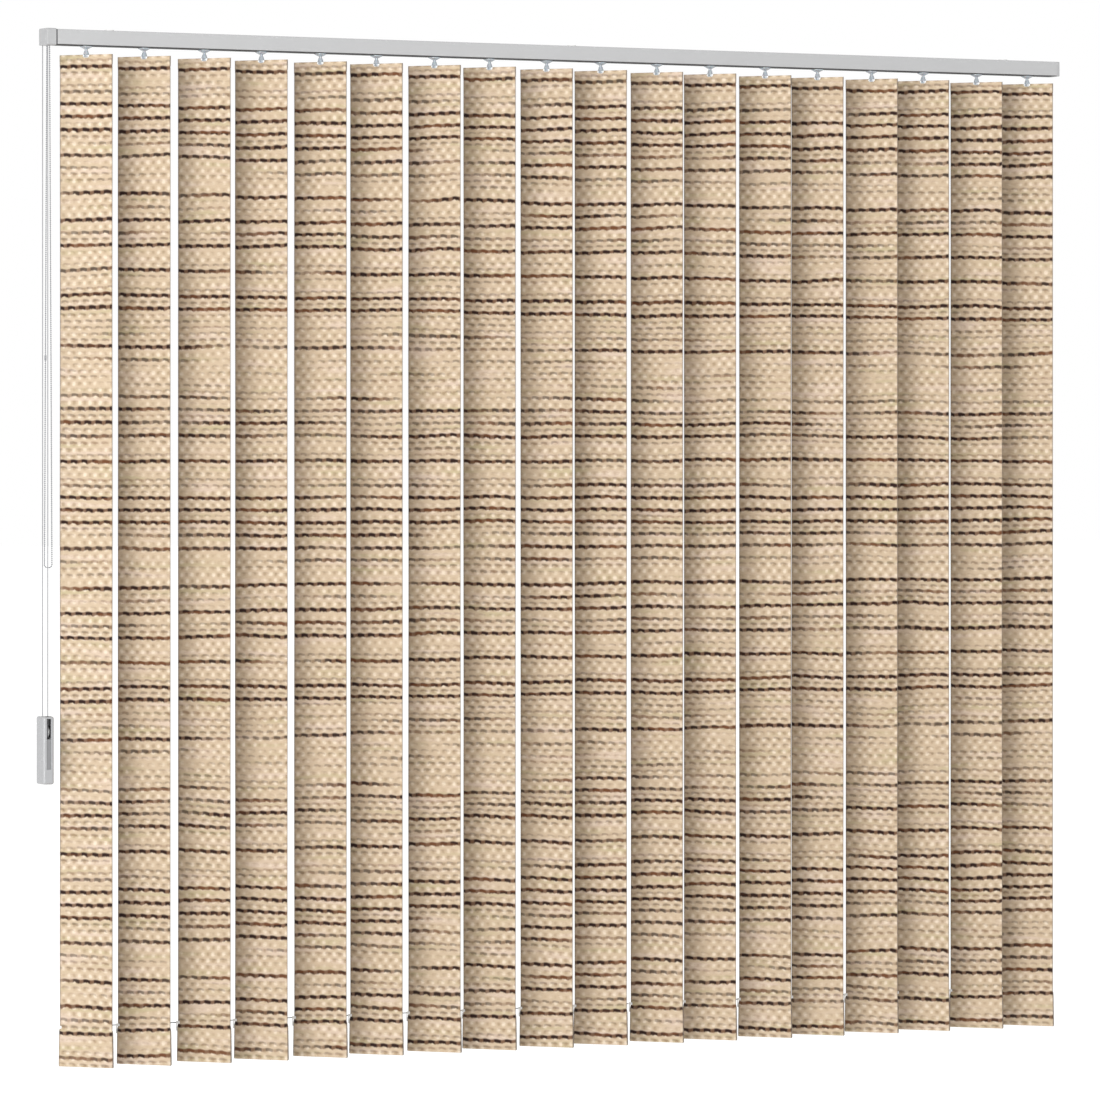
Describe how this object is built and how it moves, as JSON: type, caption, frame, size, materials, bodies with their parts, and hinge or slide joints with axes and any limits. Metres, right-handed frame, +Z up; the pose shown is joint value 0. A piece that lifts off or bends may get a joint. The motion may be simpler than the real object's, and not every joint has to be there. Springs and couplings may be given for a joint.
{
  "type": "vertical blind",
  "caption": "Vertical blind: woven fabric vanes hung from carriers in a ceiling-fixed headrail, with tilt chain, traverse cord, cord weight and linked bottom weights.",
  "frame": {"origin": "on the ceiling plane at the middle clip's screw axis, above the middle of the headrail", "axes": "+X along the rail away from the control end, -Y towards the room, +Z up"},
  "size_m": [1.8156, 0.0733, 1.5838],
  "materials": {
    "rail_aluminium": "satin light grey powder coat",
    "end_plastic": "satin light grey",
    "clip_plastic": "white",
    "carrier_plastic": "pale grey moulded",
    "pulley_plastic": "white moulded",
    "rod_aluminium": "mill finish, fluted",
    "steel": "plain",
    "braided_cord": "grey braid",
    "chain_plastic": "grey beads",
    "link_chain": "dark slate beads",
    "weight_plastic": "satin grey",
    "woven_fabric": "cream basket weave with dark brown slub threads",
    "white_plastic": "white moulded hooks, hangers and chain clips"
  },
  "bodies": {
    "root": {"headrail": "rail_aluminium", "ceiling_clips": "clip_plastic", "control_housing": "end_plastic", "control_cover": "end_plastic", "pulley_pins": "steel", "idler_housing": "end_plastic", "idler_pin": "steel", "traverse_cord_rail": "braided_cord", "traverse_cord_loop": "braided_cord", "tilt_chain": "chain_plastic", "chain_joiner": "chain_plastic", "cord_weight_left": "weight_plastic", "cord_weight_right": "weight_plastic", "cord_weight_pin": "steel", "cord_weight_slug": "steel", "carrier_01": "carrier_plastic"},
    "tilt_drive": {"tilt_rod": "rod_aluminium", "chain_sprocket": "pulley_plastic"},
    "front_corner_pulley": {"front_corner_pulley": "pulley_plastic"},
    "rear_corner_pulley": {"rear_corner_pulley": "pulley_plastic"},
    "idler_pulley": {"idler_pulley": "pulley_plastic"},
    "cord_weight_pulley": {"cord_weight_pulley": "pulley_plastic"},
    "bottom_chain": {"bottom_chain": "link_chain"},
    "carrier_02": {"carrier_02": "carrier_plastic"},
    "carrier_03": {"carrier_03": "carrier_plastic"},
    "carrier_04": {"carrier_04": "carrier_plastic"},
    "carrier_05": {"carrier_05": "carrier_plastic"},
    "carrier_06": {"carrier_06": "carrier_plastic"},
    "carrier_07": {"carrier_07": "carrier_plastic"},
    "carrier_08": {"carrier_08": "carrier_plastic"},
    "carrier_09": {"carrier_09": "carrier_plastic"},
    "carrier_10": {"carrier_10": "carrier_plastic"},
    "carrier_11": {"carrier_11": "carrier_plastic"},
    "carrier_12": {"carrier_12": "carrier_plastic"},
    "carrier_13": {"carrier_13": "carrier_plastic"},
    "carrier_14": {"carrier_14": "carrier_plastic"},
    "carrier_15": {"carrier_15": "carrier_plastic"},
    "carrier_16": {"carrier_16": "carrier_plastic"},
    "carrier_17": {"carrier_17": "carrier_plastic"},
    "carrier_18": {"carrier_18": "carrier_plastic"},
    "vane_01": {"vane_01": "woven_fabric"},
    "vane_02": {"vane_02": "woven_fabric"},
    "vane_03": {"vane_03": "woven_fabric"},
    "vane_04": {"vane_04": "woven_fabric"},
    "vane_05": {"vane_05": "woven_fabric"},
    "vane_06": {"vane_06": "woven_fabric"},
    "vane_07": {"vane_07": "woven_fabric"},
    "vane_08": {"vane_08": "woven_fabric"},
    "vane_09": {"vane_09": "woven_fabric"},
    "vane_10": {"vane_10": "woven_fabric"},
    "vane_11": {"vane_11": "woven_fabric"},
    "vane_12": {"vane_12": "woven_fabric"},
    "vane_13": {"vane_13": "woven_fabric"},
    "vane_14": {"vane_14": "woven_fabric"},
    "vane_15": {"vane_15": "woven_fabric"},
    "vane_16": {"vane_16": "woven_fabric"},
    "vane_17": {"vane_17": "woven_fabric"},
    "vane_18": {"vane_18": "woven_fabric"}
  },
  "joints": [
    {"name": "traverse_18", "type": "slide", "parent": "root", "child": "carrier_18", "axis": [1, 0, 0], "range_m": [-1.317, 0], "deforming": ["bottom_chain"]},
    {"name": "traverse_17", "type": "slide", "parent": "root", "child": "carrier_17", "axis": [1, 0, 0], "range_m": [-1.24125, 0]},
    {"name": "traverse_16", "type": "slide", "parent": "root", "child": "carrier_16", "axis": [1, 0, 0], "range_m": [-1.16196, 0]},
    {"name": "traverse_15", "type": "slide", "parent": "root", "child": "carrier_15", "axis": [1, 0, 0], "range_m": [-1.08611, 0]},
    {"name": "traverse_14", "type": "slide", "parent": "root", "child": "carrier_14", "axis": [1, 0, 0], "range_m": [-1.00681, 0]},
    {"name": "traverse_13", "type": "slide", "parent": "root", "child": "carrier_13", "axis": [1, 0, 0], "range_m": [-0.93096, 0]},
    {"name": "traverse_12", "type": "slide", "parent": "root", "child": "carrier_12", "axis": [1, 0, 0], "range_m": [-0.85167, 0]},
    {"name": "traverse_11", "type": "slide", "parent": "root", "child": "carrier_11", "axis": [1, 0, 0], "range_m": [-0.77582, 0]},
    {"name": "traverse_10", "type": "slide", "parent": "root", "child": "carrier_10", "axis": [1, 0, 0], "range_m": [-0.69653, 0]},
    {"name": "traverse_09", "type": "slide", "parent": "root", "child": "carrier_09", "axis": [1, 0, 0], "range_m": [-0.62067, 0]},
    {"name": "traverse_08", "type": "slide", "parent": "root", "child": "carrier_08", "axis": [1, 0, 0], "range_m": [-0.54138, 0]},
    {"name": "traverse_07", "type": "slide", "parent": "root", "child": "carrier_07", "axis": [1, 0, 0], "range_m": [-0.46553, 0]},
    {"name": "traverse_06", "type": "slide", "parent": "root", "child": "carrier_06", "axis": [1, 0, 0], "range_m": [-0.38624, 0]},
    {"name": "traverse_05", "type": "slide", "parent": "root", "child": "carrier_05", "axis": [1, 0, 0], "range_m": [-0.31039, 0]},
    {"name": "traverse_04", "type": "slide", "parent": "root", "child": "carrier_04", "axis": [1, 0, 0], "range_m": [-0.23109, 0]},
    {"name": "traverse_03", "type": "slide", "parent": "root", "child": "carrier_03", "axis": [1, 0, 0], "range_m": [-0.15524, 0]},
    {"name": "traverse_02", "type": "slide", "parent": "root", "child": "carrier_02", "axis": [1, 0, 0], "range_m": [-0.07595, 0]},
    {"name": "tilt_01", "type": "hinge", "parent": "root", "child": "vane_01", "pos_m": [-0.8401, -0.0042, -0.0256], "axis": [0, 0, 1], "range_deg": [-118, 38]},
    {"name": "tilt_02", "type": "hinge", "parent": "carrier_02", "child": "vane_02", "pos_m": [-0.7431, -0.0042, -0.0256], "axis": [0, 0, 1], "range_deg": [-118, 38]},
    {"name": "tilt_03", "type": "hinge", "parent": "carrier_03", "child": "vane_03", "pos_m": [-0.6417, -0.0042, -0.0256], "axis": [0, 0, 1], "range_deg": [-118, 38]},
    {"name": "tilt_04", "type": "hinge", "parent": "carrier_04", "child": "vane_04", "pos_m": [-0.5447, -0.0042, -0.0256], "axis": [0, 0, 1], "range_deg": [-118, 38]},
    {"name": "tilt_05", "type": "hinge", "parent": "carrier_05", "child": "vane_05", "pos_m": [-0.4433, -0.0042, -0.0256], "axis": [0, 0, 1], "range_deg": [-118, 38]},
    {"name": "tilt_06", "type": "hinge", "parent": "carrier_06", "child": "vane_06", "pos_m": [-0.3463, -0.0042, -0.0256], "axis": [0, 0, 1], "range_deg": [-118, 38]},
    {"name": "tilt_07", "type": "hinge", "parent": "carrier_07", "child": "vane_07", "pos_m": [-0.2449, -0.0042, -0.0256], "axis": [0, 0, 1], "range_deg": [-118, 38]},
    {"name": "tilt_08", "type": "hinge", "parent": "carrier_08", "child": "vane_08", "pos_m": [-0.1479, -0.0042, -0.0256], "axis": [0, 0, 1], "range_deg": [-118, 38]},
    {"name": "tilt_09", "type": "hinge", "parent": "carrier_09", "child": "vane_09", "pos_m": [-0.0465, -0.0042, -0.0256], "axis": [0, 0, 1], "range_deg": [-118, 38]},
    {"name": "tilt_10", "type": "hinge", "parent": "carrier_10", "child": "vane_10", "pos_m": [0.0505, -0.0042, -0.0256], "axis": [0, 0, 1], "range_deg": [-118, 38]},
    {"name": "tilt_11", "type": "hinge", "parent": "carrier_11", "child": "vane_11", "pos_m": [0.1519, -0.0042, -0.0256], "axis": [0, 0, 1], "range_deg": [-118, 38]},
    {"name": "tilt_12", "type": "hinge", "parent": "carrier_12", "child": "vane_12", "pos_m": [0.2489, -0.0042, -0.0256], "axis": [0, 0, 1], "range_deg": [-118, 38]},
    {"name": "tilt_13", "type": "hinge", "parent": "carrier_13", "child": "vane_13", "pos_m": [0.3503, -0.0042, -0.0256], "axis": [0, 0, 1], "range_deg": [-118, 38]},
    {"name": "tilt_14", "type": "hinge", "parent": "carrier_14", "child": "vane_14", "pos_m": [0.4473, -0.0042, -0.0256], "axis": [0, 0, 1], "range_deg": [-118, 38]},
    {"name": "tilt_15", "type": "hinge", "parent": "carrier_15", "child": "vane_15", "pos_m": [0.5487, -0.0042, -0.0256], "axis": [0, 0, 1], "range_deg": [-118, 38]},
    {"name": "tilt_16", "type": "hinge", "parent": "carrier_16", "child": "vane_16", "pos_m": [0.6457, -0.0042, -0.0256], "axis": [0, 0, 1], "range_deg": [-118, 38]},
    {"name": "tilt_17", "type": "hinge", "parent": "carrier_17", "child": "vane_17", "pos_m": [0.7471, -0.0042, -0.0256], "axis": [0, 0, 1], "range_deg": [-118, 38]},
    {"name": "tilt_18", "type": "hinge", "parent": "carrier_18", "child": "vane_18", "pos_m": [0.8441, -0.0042, -0.0256], "axis": [0, 0, 1], "range_deg": [-118, 38]},
    {"name": "rod_turn", "type": "hinge", "parent": "root", "child": "tilt_drive", "pos_m": [0, 0.002, -0.0176], "axis": [1, 0, 0], "range_deg": [-1180, 380]},
    {"name": "front_corner_pulley_turn", "type": "hinge", "parent": "root", "child": "front_corner_pulley", "pos_m": [-0.9021, -0.0098, -0.0178], "axis": [0, 1, 0], "continuous": true},
    {"name": "rear_corner_pulley_turn", "type": "hinge", "parent": "root", "child": "rear_corner_pulley", "pos_m": [-0.9021, 0.0098, -0.0178], "axis": [0, 1, 0], "continuous": true},
    {"name": "idler_pulley_turn", "type": "hinge", "parent": "root", "child": "idler_pulley", "pos_m": [0.8815, 0, -0.0136], "axis": [0, 0, 1], "continuous": true},
    {"name": "cord_weight_pulley_turn", "type": "hinge", "parent": "root", "child": "cord_weight_pulley", "pos_m": [-0.9063, 0, -1.0711], "axis": [1, 0, 0], "continuous": true},
    {"name": "bottom_chain_swing", "type": "hinge", "parent": "vane_01", "child": "bottom_chain", "pos_m": [-0.87031, 0.0318, -1.5238], "axis": [0, 0, 1], "range_deg": [-38, 118]}
  ],
  "couplings": [
    {"joint": "traverse_17", "follows": "traverse_18", "ratio": 0.94241},
    {"joint": "traverse_16", "follows": "traverse_18", "ratio": 0.8822},
    {"joint": "traverse_15", "follows": "traverse_18", "ratio": 0.82461},
    {"joint": "traverse_14", "follows": "traverse_18", "ratio": 0.7644},
    {"joint": "traverse_13", "follows": "traverse_18", "ratio": 0.7068},
    {"joint": "traverse_12", "follows": "traverse_18", "ratio": 0.6466},
    {"joint": "traverse_11", "follows": "traverse_18", "ratio": 0.589},
    {"joint": "traverse_10", "follows": "traverse_18", "ratio": 0.5288},
    {"joint": "traverse_09", "follows": "traverse_18", "ratio": 0.4712},
    {"joint": "traverse_08", "follows": "traverse_18", "ratio": 0.411},
    {"joint": "traverse_07", "follows": "traverse_18", "ratio": 0.3534},
    {"joint": "traverse_06", "follows": "traverse_18", "ratio": 0.2932},
    {"joint": "traverse_05", "follows": "traverse_18", "ratio": 0.2356},
    {"joint": "traverse_04", "follows": "traverse_18", "ratio": 0.17539},
    {"joint": "traverse_03", "follows": "traverse_18", "ratio": 0.1178},
    {"joint": "traverse_02", "follows": "traverse_18", "ratio": 0.057594},
    {"joint": "tilt_02", "follows": "tilt_01", "ratio": 1},
    {"joint": "tilt_03", "follows": "tilt_01", "ratio": 1},
    {"joint": "tilt_04", "follows": "tilt_01", "ratio": 1},
    {"joint": "tilt_05", "follows": "tilt_01", "ratio": 1},
    {"joint": "tilt_06", "follows": "tilt_01", "ratio": 1},
    {"joint": "tilt_07", "follows": "tilt_01", "ratio": 1},
    {"joint": "tilt_08", "follows": "tilt_01", "ratio": 1},
    {"joint": "tilt_09", "follows": "tilt_01", "ratio": 1},
    {"joint": "tilt_10", "follows": "tilt_01", "ratio": 1},
    {"joint": "tilt_11", "follows": "tilt_01", "ratio": 1},
    {"joint": "tilt_12", "follows": "tilt_01", "ratio": 1},
    {"joint": "tilt_13", "follows": "tilt_01", "ratio": 1},
    {"joint": "tilt_14", "follows": "tilt_01", "ratio": 1},
    {"joint": "tilt_15", "follows": "tilt_01", "ratio": 1},
    {"joint": "tilt_16", "follows": "tilt_01", "ratio": 1},
    {"joint": "tilt_17", "follows": "tilt_01", "ratio": 1},
    {"joint": "tilt_18", "follows": "tilt_01", "ratio": 1},
    {"joint": "rod_turn", "follows": "tilt_01", "ratio": 10},
    {"joint": "front_corner_pulley_turn", "follows": "traverse_18", "rad_per_m": 238.1},
    {"joint": "rear_corner_pulley_turn", "follows": "traverse_18", "rad_per_m": -238.1},
    {"joint": "idler_pulley_turn", "follows": "traverse_18", "rad_per_m": 102.04},
    {"joint": "cord_weight_pulley_turn", "follows": "traverse_18", "rad_per_m": -102.04},
    {"joint": "bottom_chain_swing", "follows": "tilt_01", "ratio": -1}
  ]
}
